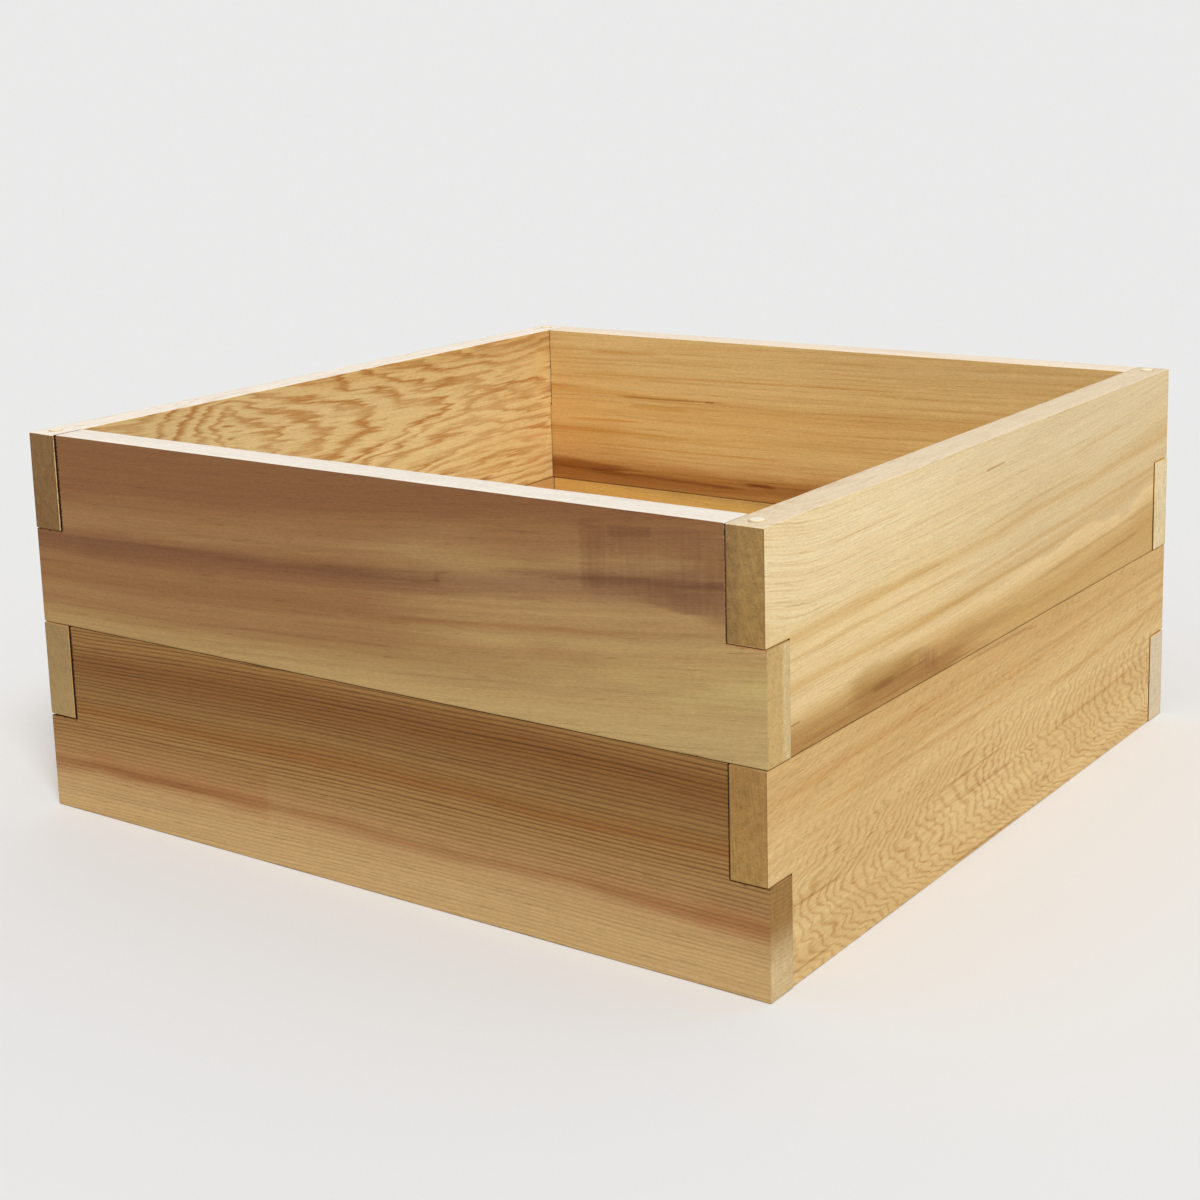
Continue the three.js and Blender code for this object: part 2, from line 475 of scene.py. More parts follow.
def torn_edges(g, grain, colour, ends):
    """Tones on the outer face beside the notches and below the lapped tabs. Where a tone is a fibre colour
    it is fibre that the saw tore, and where it is the crack colour it is painted shade beside the crack.

    Each end has a tone beside the notch and one below the tab, how far in millimetres each reaches
    past the cut, and how strong they are.
    """
    along, down, inward = g.split(grain)
    notch, length = NOTCH_DEPTH / MM, BED_WIDTH / MM
    lap = (BOARD_HEIGHT - LOW_TAB_HEIGHT) / MM
    on_face = g.ease(inward, 0.5, 1.2, 1, 0)
    from_ends = (along, g.minus(length, along))
    for from_end, (notch_tone, lap_tone, notch_reach, lap_reach, strength) in zip(from_ends, ends):
        past_shoulder = g.minus(from_end, notch)
        tooth = g.noise(g.vector("MULTIPLY", grain, (0.1, 0.8, 0.3)), 1)
        edge = g.math("MULTIPLY_ADD", tooth, 2 * notch_reach, -0.3 * notch_reach)
        by_shoulder = g.ease(g.minus(past_shoulder, edge), -0.4, 0.3, 1, 0)
        by_shoulder = g.times(by_shoulder, g.math("LESS_THAN", down, lap))
        fringe = g.noise(g.vector("MULTIPLY", grain, (0.35, 0.4, 0.3)), 2)
        edge = g.math("MULTIPLY_ADD", fringe, 8 * lap_reach, -3.4 * lap_reach)
        by_lap = g.ease(g.minus(g.minus(down, lap), edge), -0.8, 0.6, 0.7, 0)
        by_lap = g.times(by_lap, g.math("LESS_THAN", from_end, notch))
        # Where the tone is the crack colour, this is painted shade beside the crack.
        for torn, tone in ((by_shoulder, notch_tone), (by_lap, lap_tone)):
            colour = g.mix(g.times(torn, on_face, strength), colour, linear(*tone))
    return colour


def layered_colour(g, look, wood, along, down):
    """The layers of the tree, with soft and streaky borders, and the stains over them."""
    border = look["border"]
    level = g.total(
        wood["Level"], (wood["Bend"], border), (wood["Fray"], border), (wood["Cloud"], 2 * border)
    )
    colour = band_colour(g, level, look["bands"])
    warmth = g.math("MULTIPLY_ADD", wood["Cloud"], 0.6, 0.5, clamp=True)
    colour = g.mix(warmth, colour, (*look["cloud_tint"], 1), "MULTIPLY")
    for mark in look["stains"]:
        colour = g.group(STAIN, {
            "Colour": colour, "Tint": (*mark.tint, 1), "Along": along, "Down": down,
            "Bend": wood["Bend"], "Fray": wood["Fray"], "Hatch": wood["Hatch"], "Start": mark.start,
            "End": mark.end, "Down at start": mark.down_at_start, "Down at end": mark.down_at_end,
            "Half width": mark.half_width, "Strength": mark.strength, "Fade": mark.fade,
            "Core": mark.core, "Broken": mark.hatch,
        })[0]
    return colour


def cut_surfaces(g, look, wood, grain, on_end, colour):
    """Gives the sawn ends a tone of their own with a darker rim, and paints shade on the walls inside the
    joints, so that the cracks look dark.
    """
    along, down, inward = g.split(grain)
    length, thickness = BED_WIDTH / MM, THICKNESS / MM
    end_tone = g.ease(down, *look["end_change"])
    end_colour = g.mix(end_tone, linear(*look["ends"][0]), linear(*look["ends"][1]))
    if "end_inside" in look:
        stripe = g.ease(g.total(inward, (wood["Speck"], 0.8)), 15, 19)
        end_colour = g.mix(stripe, end_colour, linear(*look["end_inside"]))
    colour = g.mix(g.times(on_end, 0.92), colour, end_colour)
    # Painted shade: the notch shoulders, and the tab walls hidden in the joints, take the crack colour, so
    # that the cracks look shaded.
    from_end = g.math("MINIMUM", along, g.minus(length, along))
    on_shoulder = g.times(on_end, g.ease(from_end, 4, 8))
    hidden = g.times(
        g.ease(from_end, 0.5, 0.9), g.ease(from_end, thickness - 0.4, thickness + 0.2, 1, 0),
        g.ease(inward, thickness - 0.8, thickness - 0.4),
    )
    colour = g.mix(g.math("MAXIMUM", on_shoulder, hidden), colour, linear(*CRACK_SHADE))
    from_arris = g.math("MINIMUM", inward, g.minus(thickness, inward))
    rim = g.times(g.ease(from_arris, 0.1, 1.1, 1, 0), on_end, look["end_rim"])
    return g.mix(rim, colour, linear(*SAWN_RIM))


def ring_line(g, look, wood, along, down, on_end, on_top):
    """How dark the late wood of the growth rings is, which is less where the look says so."""
    strong, weak, change = look["contrast"]
    return g.times(
        wood["Line"], g.ease(down, *change, strong, weak), g.ease(along, *look["calmer"]),
        g.total(1, (on_top, look["top_grain"] - 1)), g.total(1, (on_end, -0.55)),
    )


def cedar(name, side, top, look):
    """The wood of one board."""
    material, g = new_material(name)
    seed = look["seed"]
    grain = grain_space(g, side, top)
    along, down, inward = g.split(grain)
    wood = g.group(WOOD, {"Grain": grain, "Seed": seed, **look["rings"]})
    on_end = on_ends(g, SIDE_AXES[side][0])
    up = g.split(g.node("ShaderNodeTexCoord").outputs["Normal"])[2]
    on_top = g.times(g.ease(up, 0.45, 0.85), g.ease(down, 1.5, 3, 1, 0))

    colour = layered_colour(g, look, wood, along, down)
    colour = cut_surfaces(g, look, wood, grain, on_end, colour)
    # Painted light and shade on the top edges: the pale tops of the upper course are a painted highlight
    # for the light from above, and the dark tops of the lower course, hidden under the upper one, are
    # painted shade for the seam between the courses. The fainter grain on the tops (top_grain, and the
    # calmer streaks below) goes with the painted highlight.
    colour = g.mix(g.times(on_top, look["bleached"]), colour, linear(*look["top"]))
    if "torn" in look:
        colour = torn_edges(g, grain, colour, look["torn"])

    # Rings, streaks and fibre lean towards the line's tint as they darken.
    tint, streak = (*look["line_tint"], 1), look["streak"]
    line = ring_line(g, look, wood, along, down, on_end, on_top)
    colour = g.mix(line, colour, tint, "MULTIPLY")
    streaky = g.total(streak * 0.4, (wood["Streak"], streak), (wood["Dash"], look["dash"]))
    streaky = g.math("MULTIPLY", streaky, g.total(1, (on_top, -0.4)), clamp=True)
    colour = g.mix(streaky, colour, tint, "MULTIPLY")

    # Fibre and specks shade all of it. Mottling, pits and leaning saw marks are on the ends alone.
    mottle = g.centred_noise(g.vector("MULTIPLY", grain, (0.3, 0.16, 0.2)), 5, 0.72)
    pits = g.ease(g.noise(g.vector("MULTIPLY", grain, (0.5, 0.5, 0.6)), 2), 0.58, 0.72)
    lean = g.total(inward, (down, look["saw_lean"]))
    saw = g.centred_noise(g.xyz(g.times(lean, 0.7), g.times(down, 0.03), seed), 2)
    mottle, pits, saw = (g.times(mark, on_end) for mark in (mottle, pits, saw))
    shade = g.total(
        1, (wood["Fine"], look["fine"]), (wood["Speck"], look["speck"]),
        (g.minus(wood["Luck"], 0.5), look["year_change"]), (mottle, look["mottle"]),
        (pits, -0.2), (saw, look["saw"]),
    )
    roughness = g.total(0.7, (on_end, 0.12), (wood["Line"], -0.1), (wood["Fine"], 0.05))

    # Raised late wood, open fibre, planer ripples along the faces and saw marks on the ends.
    ripple = g.math("SINE", g.times(along, math.tau / PLANER_PITCH))
    height = g.total(
        0, (line, 0.4), (wood["Fine"], 0.4), (wood["Speck"], 0.25), (wood["Dash"], -0.5),
        (ripple, 0.05), (saw, 0.5), (mottle, 0.6),
    )
    bare_wood(g, g.scaled(colour, shade), roughness, 0.15, height, 0.5, 0.3 * MM)
    return material


# ---------------------------------------------------------------------------------------------
# What each board looks like
# ---------------------------------------------------------------------------------------------

PLANER_PITCH = 2.6  # millimetres between the planer's ripples

BROWN_LINE = (0.62, 0.50, 0.38)
GOLD_LINE = (0.80, 0.66, 0.46)
PURPLE = (0.72, 0.62, 0.65)
RUST = (0.88, 0.74, 0.66)
OLIVE = (0.76, 0.70, 0.56)
UMBER = (0.66, 0.52, 0.38)
HONEY = (0.88, 0.77, 0.60)
SOOT = (0.62, 0.46, 0.34)
FADED = (1.4, 1.68, 1.74)

# Painted shade for the cracks of the joints, on the walls inside them and on the faces beside them.
CRACK_SHADE = (58, 36, 22)
TORN_FIBRE = (206, 152, 112)
RAW_FIBRE = (168, 100, 56)
SAWN_RIM = (98, 66, 36)


def rings(ring_width, pith=(-520, 40), **changes):
    """Growth rings, straight along the board unless the changes bend them."""
    plain = {
        "Slope": 0, "Bow": 0, "Rise": 0, "Taper": 0, "Turn": -1000, "Settle": 5000, "Drift": 3,
        "Waver": 0.6, "Crinkle": 0.15, "Tear": 0.1, "Sharpness": 0.35, "Variation": 0.6,
        "Patchiness": 0.5, "Broken": 0.3,
    }
    return {**plain, "Ring width": ring_width, "Pith down": pith[0], "Pith inward": pith[1], **changes}


def surface(**changes):
    """The look of a board: its own values over those that most boards share."""
    plain = {
        "border": 3, "cloud_tint": (0.98, 0.95, 0.9), "streak": 0.12, "fine": 0.1, "speck": 0.1,
        "dash": 0.35, "year_change": 0.03, "bleached": 0.94, "top_grain": 0.35, "saw_lean": 0.3,
        "end_change": (0, 70), "contrast": (0.4, 0.4, (0, 140)), "calmer": (0, 600, 1, 1),
        "stains": (), "mottle": 0.14, "saw": 0.1, "end_rim": 0.3,
    }
    return {**plain, **changes}


LOOKS = {
    "upper_front": surface(
        seed=3.1,
        rings=rings(5.2, Slope=0.0715, Bow=1.02e-4, Drift=4, Waver=1, Variation=0.9, Patchiness=0.9),
        contrast=(0.25, 0.42, (20, 120)), line_tint=BROWN_LINE,
        bands=(
            (-40, (142, 101, 66)), (5, (141, 98, 61)), (24, (142, 98, 62)), (36, (155, 115, 74)),
            (50, (161, 122, 79)), (56, (151, 110, 71)), (62, (131, 90, 60)), (68, (135, 93, 61)),
            (80, (156, 115, 74)), (91, (150, 109, 69)), (100, (162, 123, 79)), (108, (159, 119, 76)),
            (118, (173, 138, 89)), (132, (184, 153, 101)), (150, (193, 165, 112)), (180, (196, 169, 116)),
        ),
        stains=(
            Stain(430, 660, 68, 66, 46, FADED, 1, fade=150, core=0.35),
            Stain(486, 640, 31, 35, 24, PURPLE, 0.6, fade=5, core=0.75, hatch=0.5),
            Stain(560, 640, 50, 56, 9, PURPLE, 0.5, fade=40, core=0.4),
            Stain(470, 640, 45, 34, 4, PURPLE, 0.7, fade=60),
            Stain(350, 470, 90, 78, 3, RUST, 0.6, fade=50),
            Stain(505, 532, 13, 12, 4, PURPLE, 0.5, fade=3, core=0.7),
            Stain(490, 497, 34, 34, 25, PURPLE, 0.25, fade=3, core=0.7),
            Stain(250, 372, 64, 60, 6, UMBER, 0.2, fade=20),
            Stain(373, 375, 59, 59, 5, UMBER, 0.4, fade=2.5),
            Stain(358, 372, 63.5, 63, 1.5, UMBER, 0.4, fade=8),
            Stain(376, 383, 55.5, 54, 1, UMBER, 0.35, fade=4),
        ),
        torn=((CRACK_SHADE, CRACK_SHADE, 2.4, 0.8, 0.9), (TORN_FIBRE, RAW_FIBRE, 0.6, 0.6, 0.75)),
        ends=((206, 174, 116), (208, 175, 114)),
        end_change=(60, 140), end_inside=(218, 193, 141), end_rim=0.15, top=(255, 247, 235),
        streak=0.2,
    ),
    "lower_front": surface(
        seed=17.7,
        rings=rings(
            2.85, Slope=0.018, Bow=-4.7e-5, Drift=3.2, Sharpness=0.3, Variation=0.35, Patchiness=0.2,
            Broken=0.15,
        ),
        contrast=(1.0, 0.4, (66, 104)), line_tint=(0.44, 0.34, 0.23),
        bands=(
            (-40, (158, 118, 69)), (2, (159, 118, 67)), (9, (151, 109, 60)), (14, (141, 98, 52)),
            (23, (139, 96, 50)), (31, (146, 105, 58)), (42, (154, 116, 67)), (51, (155, 112, 61)),
            (57, (156, 109, 57)), (63, (166, 126, 74)), (74, (167, 129, 79)), (84, (176, 138, 89)),
            (92, (181, 141, 92)), (97, (172, 128, 81)), (104, (192, 155, 105)), (120, (203, 169, 117)),
            (180, (207, 174, 122)),
        ),
        stains=(
            Stain(-20, 214, 90, 90, 19, RUST, 0.35, fade=4, core=0.8),
            Stain(500, 640, 94, 97, 14, RUST, 0.4, fade=70),
            Stain(40, 214, 98, 98, 6, RUST, 0.4, fade=6, core=0.6),
            Stain(-20, 160, 103, 100, 3.5, UMBER, 0.35, fade=40),
            Stain(575, 640, 84, 84, 8, PURPLE, 0.3, fade=14),
            Stain(565, 640, 96, 97, 9, RUST, 0.4, fade=20),
        ),
        torn=((CRACK_SHADE, CRACK_SHADE, 2.2, 1.0, 0.9), (CRACK_SHADE, CRACK_SHADE, 0.7, 0.7, 0.7)),
        ends=((161, 123, 68), (214, 189, 143)),
        end_change=(90, 124), top=(120, 86, 52), bleached=0.8,
    ),
    "upper_right": surface(
        seed=29.3,
        rings=rings(
            2.1, pith=(-300, 25), Slope=0.035, Bow=5.8e-5, Rise=12, Drift=5, Waver=1.7, Crinkle=0.55,
            Tear=0.35, Sharpness=0.25, Variation=0.75, Broken=0.7,
        ),
        contrast=(0.85, 0.6, (40, 90)), calmer=(60, 300, 1, 0.5), line_tint=(0.79, 0.64, 0.44),
        bands=(
            (-40, (243, 223, 181)), (20, (242, 221, 177)), (45, (240, 218, 172)), (61, (236, 212, 161)),
            (67, (226, 194, 136)), (73, (238, 214, 165)), (86, (237, 212, 162)), (94, (229, 199, 143)),
            (100, (235, 209, 159)), (110, (229, 199, 146)), (118, (213, 178, 119)), (130, (203, 165, 104)),
            (141, (208, 172, 112)), (180, (208, 172, 112)),
        ),
        stains=(
            Stain(26, 200, 69, 67, 4, HONEY, 0.7, fade=30),
            Stain(26, 240, 130, 133, 11, UMBER, 0.5, fade=60),
            Stain(110, 170, 121, 122, 12, OLIVE, 1, fade=22),
            Stain(120, 230, 131, 133, 7, UMBER, 0.4, fade=30),
            Stain(128, 142, 127, 127, 3, UMBER, 0.6, fade=10),
            Stain(188, 206, 124, 128, 10, PURPLE, 0.55, fade=8, hatch=0.8),
            Stain(180, 290, 122, 125, 6, UMBER, 0.3, fade=50),
            Stain(20, 200, 137, 139, 5, UMBER, 0.5, fade=80),
            Stain(380, 640, 15, 5, 80, (0.87, 0.86, 0.88), 0.9, fade=260, core=0.9),
            Stain(390, 640, 112, 98, 2.5, UMBER, 0.4, fade=40),
            Stain(160, 420, 102, 92, 2.5, HONEY, 0.7, fade=60),
            Stain(300, 600, 86, 72, 2.5, HONEY, 0.7, fade=60),
            Stain(60, 230, 82, 80, 2, HONEY, 0.6, fade=40),
            Stain(30, 240, 100, 98, 3, HONEY, 0.6, fade=40),
            Stain(120, 260, 47, 43, 1.6, HONEY, 0.5, fade=40),
            Stain(300, 400, 58, 52, 1.5, HONEY, 0.6, fade=40),
            Stain(285, 306, 20.5, 20, 1, UMBER, 0.9, fade=7),
            Stain(240, 285, 22, 21, 0.8, HONEY, 0.6, fade=20),
            Stain(20, 34, 121, 121, 0.9, SOOT, 0.8, fade=5),
            Stain(480, 540, 121, 118, 1.6, UMBER, 0.5, fade=14),
            Stain(440, 500, 34, 30, 1.4, HONEY, 0.6, fade=20),
        ),
        ends=((157, 121, 64), (154, 118, 62)), end_inside=(142, 107, 58), top=(238, 220, 190),
        top_grain=0.8, cloud_tint=(0.98, 0.95, 0.88), streak=0.28, mottle=0.28, saw=0.16, end_rim=0.6,
    ),
    "lower_right": surface(
        seed=44.1,
        rings=rings(
            6.0, pith=(92, 16), Slope=0.02, Taper=-0.5, Drift=5, Waver=12, Crinkle=2.3, Tear=1,
            Sharpness=0.4, Variation=0.3, Patchiness=0.3, Broken=0.4,
        ),
        contrast=(0.3, 0.8, (40, 80)), line_tint=(0.68, 0.49, 0.30),
        bands=(
            (-40, (220, 185, 126)), (25, (222, 187, 128)), (55, (230, 200, 144)), (180, (231, 203, 149)),
        ),
        stains=(
            Stain(270, 345, 3, 4, 2, UMBER, 0.55, fade=20),
            Stain(385, 600, 26, 20, 2, UMBER, 0.35, fade=40),
            Stain(40, 180, 22, 18, 2.5, HONEY, 0.6, fade=50),
            Stain(200, 420, 36, 28, 2.5, HONEY, 0.6, fade=60),
            Stain(420, 600, 56, 46, 3, HONEY, 0.6, fade=60),
            Stain(60, 280, 42, 44, 2.5, HONEY, 0.5, fade=50),
            Stain(40, 75, 91, 91, 1.4, UMBER, 0.7, fade=14),
            Stain(230, 300, 80, 79, 1.4, UMBER, 0.5, fade=30),
            Stain(250, 310, 95, 94, 1.4, UMBER, 0.5, fade=14),
            Stain(22, 60, 131, 131, 1.4, UMBER, 0.7, fade=12),
            Stain(245, 330, 137, 138, 1.6, UMBER, 0.8, fade=20),
            Stain(400, 520, 92, 86, 1.6, HONEY, 0.8, fade=40),
        ),
        ends=((162, 124, 70), (169, 132, 74)), top=(140, 104, 64), bleached=0.7,
        cloud_tint=(0.88, 0.82, 0.72), streak=0.35, dash=0.6, saw_lean=0.1, mottle=0.2, saw=0.14,
        end_rim=0.5,
    ),
    "upper_back": surface(
        seed=53.3,
        rings=rings(4.4, Slope=0.02, Drift=4, Waver=1, Variation=0.9, Patchiness=0.8),
        contrast=(0.7, 0.7, (20, 120)), line_tint=GOLD_LINE, streak=0.45, cloud_tint=(0.93, 0.9, 0.84),
        bands=(
            (-40, (239, 204, 142)), (20, (240, 206, 142)), (50, (241, 204, 137)), (60, (234, 191, 120)),
            (72, (240, 199, 129)), (90, (238, 198, 128)), (104, (240, 201, 135)), (111, (224, 179, 114)),
            (119, (194, 141, 76)), (180, (188, 133, 65)),
        ),
        stains=(
            Stain(-20, 90, 124, 126, 6.5, SOOT, 0.9, fade=50, core=0.4),
            Stain(-20, 160, 133, 131, 9, SOOT, 0.6, fade=60),
            Stain(90, 215, 128, 129, 2.4, SOOT, 0.8, fade=30),
            Stain(215, 360, 131, 124, 8, SOOT, 0.5, fade=40),
            Stain(243, 260, 125, 125, 2.4, SOOT, 1, fade=10),
            Stain(120, 203, 56, 55, 1.3, UMBER, 0.9, fade=20),
            Stain(199, 205, 55, 55, 1.1, SOOT, 1, fade=2),
            Stain(-20, 135, 53, 55, 4, HONEY, 0.9, fade=60),
            Stain(-20, 85, 100, 98, 22, (0.88, 0.76, 0.6), 0.6, fade=50),
            Stain(75, 355, 38, 32, 1.4, HONEY, 0.9, fade=40),
            Stain(85, 135, 17, 16, 2.4, HONEY, 0.9, fade=20),
            Stain(320, 640, 10, 6, 22, (0.84, 0.78, 0.74), 0.2, fade=80),
            Stain(55, 115, 81, 79, 1.6, HONEY, 1, fade=16),
            Stain(125, 165, 64, 64, 3, HONEY, 0.9, fade=16),
            Stain(-20, 155, 90, 91, 3, HONEY, 0.9, fade=60),
            Stain(95, 255, 103, 101, 1.4, HONEY, 0.9, fade=30),
        ),
        torn=((CRACK_SHADE, CRACK_SHADE, 0.7, 0.7, 0.6),) * 2, ends=((232, 214, 172), (234, 217, 176)),
        end_rim=0.15, top=(252, 238, 218),
    ),
    "lower_back": surface(
        seed=67.1,
        rings=rings(3.1, Slope=-0.02, Drift=5, Waver=1.2, Variation=0.8),
        contrast=(0.5, 0.5, (0, 140)), line_tint=GOLD_LINE,
        bands=(
            (4, (204, 163, 95)), (9, (228, 183, 102)), (30, (230, 186, 116)), (70, (220, 174, 112)),
            (110, (212, 164, 102)), (180, (204, 156, 96)),
        ),
        stains=(
            Stain(-20, 400, 12, 16, 2, UMBER, 0.4, fade=60),
            Stain(100, 600, 40, 30, 6, HONEY, 0.6, fade=60),
        ),
        torn=((CRACK_SHADE, CRACK_SHADE, 0.7, 0.7, 0.6),) * 2, ends=((220, 206, 178), (218, 204, 176)),
        end_rim=0.1, top=(150, 112, 70), bleached=0.7,
    ),
    "upper_left": surface(
        seed=38.2,
        rings=rings(
            7.4, pith=(43, 66), Slope=-0.057, Bow=1.4e-4, Taper=0.14, Turn=170, Settle=260, Drift=8,
            Waver=8, Crinkle=0.5, Tear=4.5, Sharpness=0.25, Variation=0.4, Patchiness=0.4, Broken=0.1,
        ),
        contrast=(1.0, 1.0, (0, 140)), line_tint=(0.62, 0.36, 0.15), cloud_tint=(0.94, 0.88, 0.76),
        bands=(
            (-40, (246, 214, 153)), (15, (246, 216, 156)), (60, (253, 226, 166)), (180, (248, 216, 152)),
        ),
        stains=(
            Stain(455, 480, 122, 122, 1.4, SOOT, 0.9, fade=8),
            Stain(300, 640, 5, 4, 7, HONEY, 0.6, fade=60),
            Stain(500, 640, 9, 9, 6, UMBER, 0.4, fade=60),
        ),
        ends=((121, 87, 51), (117, 82, 45)), top=(255, 247, 235), saw_lean=0.15, mottle=0.12,
    ),
    "lower_left": surface(
        seed=97.3,
        rings=rings(2.6, Slope=0.015, Waver=1),
        contrast=(0.5, 0.4, (60, 100)), line_tint=GOLD_LINE,
        bands=(
            (-40, (222, 180, 118)), (30, (218, 172, 108)), (44, (224, 182, 120)), (100, (214, 168, 106)),
            (180, (206, 160, 98)),
        ),
        stains=(Stain(-20, 300, 30, 34, 6, HONEY, 0.6, fade=60),),
        ends=((154, 127, 86), (164, 138, 94)), top=(140, 104, 64), bleached=0.7, saw_lean=-0.75,
        saw=0.13,
    ),
}


# ---------------------------------------------------------------------------------------------
# Boards
# ---------------------------------------------------------------------------------------------


def spread(stops, step):
    """Numbers from the first stop to the last that include every stop and lie at most a step apart."""
    stops = sorted(set(stops))
    found = [stops[0]]
    for low, high in zip(stops, stops[1:]):
        pieces = max(1, math.ceil((high - low) / step - 1e-6))
        found += [low + (high - low) * i / pieces for i in range(1, pieces + 1)]
    return found


def board_outline(tabs, length, fit):
    """The grid lines of a board's face, and a test of whether a point of the face is wood."""
    end, shoulder = length / 2, length / 2 - NOTCH_DEPTH
    ends = (-end + fit["short"][0], end - fit["short"][1])
    shoulders = (-shoulder + fit["slack"][0], shoulder - fit["slack"][1])
    if tabs == "low":
        levels = tuple(LOW_TAB_HEIGHT - drop for drop in fit["drop"])
    else:
        levels = tuple(LOW_TAB_HEIGHT + LAP_GAP + drop for drop in fit["drop"])

    def is_wood(x, z):
        side = 0 if x < 0 else 1
        if shoulders[0] < x < shoulders[1]:
            return 0 < z < BOARD_HEIGHT
        on_tab = z < levels[side] if tabs == "low" else z > levels[side]
        return on_tab and ends[0] < x < ends[1] and 0 < z < BOARD_HEIGHT

    inner = -EDGE_GRID if tabs == "low" else EDGE_GRID
    columns = [ends[0], ends[0] + EDGE_GRID, ends[1], ends[1] - EDGE_GRID]
    columns += [shoulders[0], shoulders[0] + EDGE_GRID, shoulders[1], shoulders[1] - EDGE_GRID]
    rows = [0, EDGE_GRID, BOARD_HEIGHT, BOARD_HEIGHT - EDGE_GRID]
    rows += [value for level in levels for value in (level, level + inner)]
    return spread(columns, GRID), spread(rows, GRID), is_wood


def wander(x, y, z, size, seed):
    """Smooth noise from -1 to 1, whose bumps are about this size apart."""
    return noise.noise(Vector((x / size + seed, y / size, z / size - seed)))


# Each side of a grid cell: the corners at its start and end, and the step to the cell beyond it.
CELL_SIDES = (
    ((0, 0), (1, 0), (0, -1)), ((1, 0), (1, 1), (1, 0)), ((1, 1), (0, 1), (0, 1)),
    ((0, 1), (0, 0), (-1, 0)),
)


def board_mesh(name, tabs, length, fit, seed):
    """A board lying in its own frame: x along it, y through it with the outer face at low y, z up."""
    columns, rows, is_wood = board_outline(tabs, length, fit)
    cells = {
        (i, j)
        for i in range(len(columns) - 1)
        for j in range(len(rows) - 1)
        if is_wood((columns[i] + columns[i + 1]) / 2, (rows[j] + rows[j + 1]) / 2)
    }
    form = bmesh.new()
    half = THICKNESS / 2
    made = {}

    def outward(i, j):
        """Which way is out of the wood at a grid point, per axis, and how many cells touch it."""
        near = [(a, b) for a in (-1, 1) for b in (-1, 1) if (i + min(a, 0), j + min(b, 0)) in cells]
        across, upward = sum(a for a, b in near), sum(b for a, b in near)
        return (across < 0) - (across > 0), (upward < 0) - (upward > 0), len(near)

    def point(i, j, ring, face):
        """The vertex of a grid point on one ring of its profile: 0 on the face, the last on the edge."""
        out_x, out_z, near = outward(i, j)
        key = (i, j, ring if near < 4 else 0, face)
        if key in made:
            return made[key]
        x, z = columns[i], rows[j]
        planed = j in (0, len(rows) - 1)
        worn = 1 + WEAR_CHANGE * wander(x, face * half, z, 19 * MM, seed)
        wear_z = (PLANED_ARRIS if planed else SAWN_ARRIS) * worn
        wear_x = SAWN_ARRIS * worn
        depth = wear_x if out_z == 0 else wear_z if out_x == 0 else (wear_x + wear_z) / 2
        turn = math.pi / 2 * ring / ARRIS_STEPS
        inset = 1 - math.sin(turn)
        y = half - depth * (1 - math.cos(turn))
        corner = WORN_CORNER * (1 + 0.5 * wander(x, z, face, 7 * MM, seed)) if near == 1 else 0
        x -= out_x * (wear_x * inset + corner)
        z -= out_z * (wear_z * inset + corner)
        hollow = FACE_HOLLOW * (1 + wander(x, 0, z, 70 * MM, seed + face))
        if out_z and planed:
            z -= out_z * EDGE_HOLLOW * (1 + wander(x, face, 0, 55 * MM, seed + 5))
        made[key] = form.verts.new((x, face * (y - hollow), z))
        return made[key]

    for i, j in cells:
        for face in (-1, 1):
            corners = [point(a, b, 0, face) for a, b in ((i, j), (i + 1, j), (i + 1, j + 1), (i, j + 1))]
            form.faces.new(corners if face < 0 else corners[::-1])

    # The rim: each open side of a cell gets a strip round both arrises and across the edge.
    open_sides = [
        ((i + a, j + b), (i + c, j + d))
        for (a, b), (c, d), (across, upward) in CELL_SIDES
        for i, j in cells
        if (i + across, j + upward) not in cells
    ]
    between = {}

    def edge_point(i, j, piece):
        """A vertex part of the way across the edge, from the outer face to the inner one."""
        if piece == 0:
            return point(i, j, ARRIS_STEPS, -1)
        if piece == EDGE_STEPS:
            return point(i, j, ARRIS_STEPS, 1)
        if (i, j, piece) not in between:
            low, high = point(i, j, ARRIS_STEPS, -1).co, point(i, j, ARRIS_STEPS, 1).co
            between[i, j, piece] = form.verts.new(low.lerp(high, piece / EDGE_STEPS))
        return between[i, j, piece]

    for a, b in open_sides:
        for ring in range(ARRIS_STEPS):
            for face in (-1, 1):
                strip = [point(*a, ring, face), point(*a, ring + 1, face)]
                strip += [point(*b, ring + 1, face), point(*b, ring, face)]
                form.faces.new(strip if face < 0 else strip[::-1])
        for piece in range(EDGE_STEPS):
            strip = [edge_point(*a, piece), edge_point(*a, piece + 1)]
            strip += [edge_point(*b, piece + 1), edge_point(*b, piece)]
            form.faces.new(strip)
    bmesh.ops.recalc_face_normals(form, faces=form.faces)
    mesh = bpy.data.meshes.new(name)
    form.to_mesh(mesh)
    form.free()
    return mesh


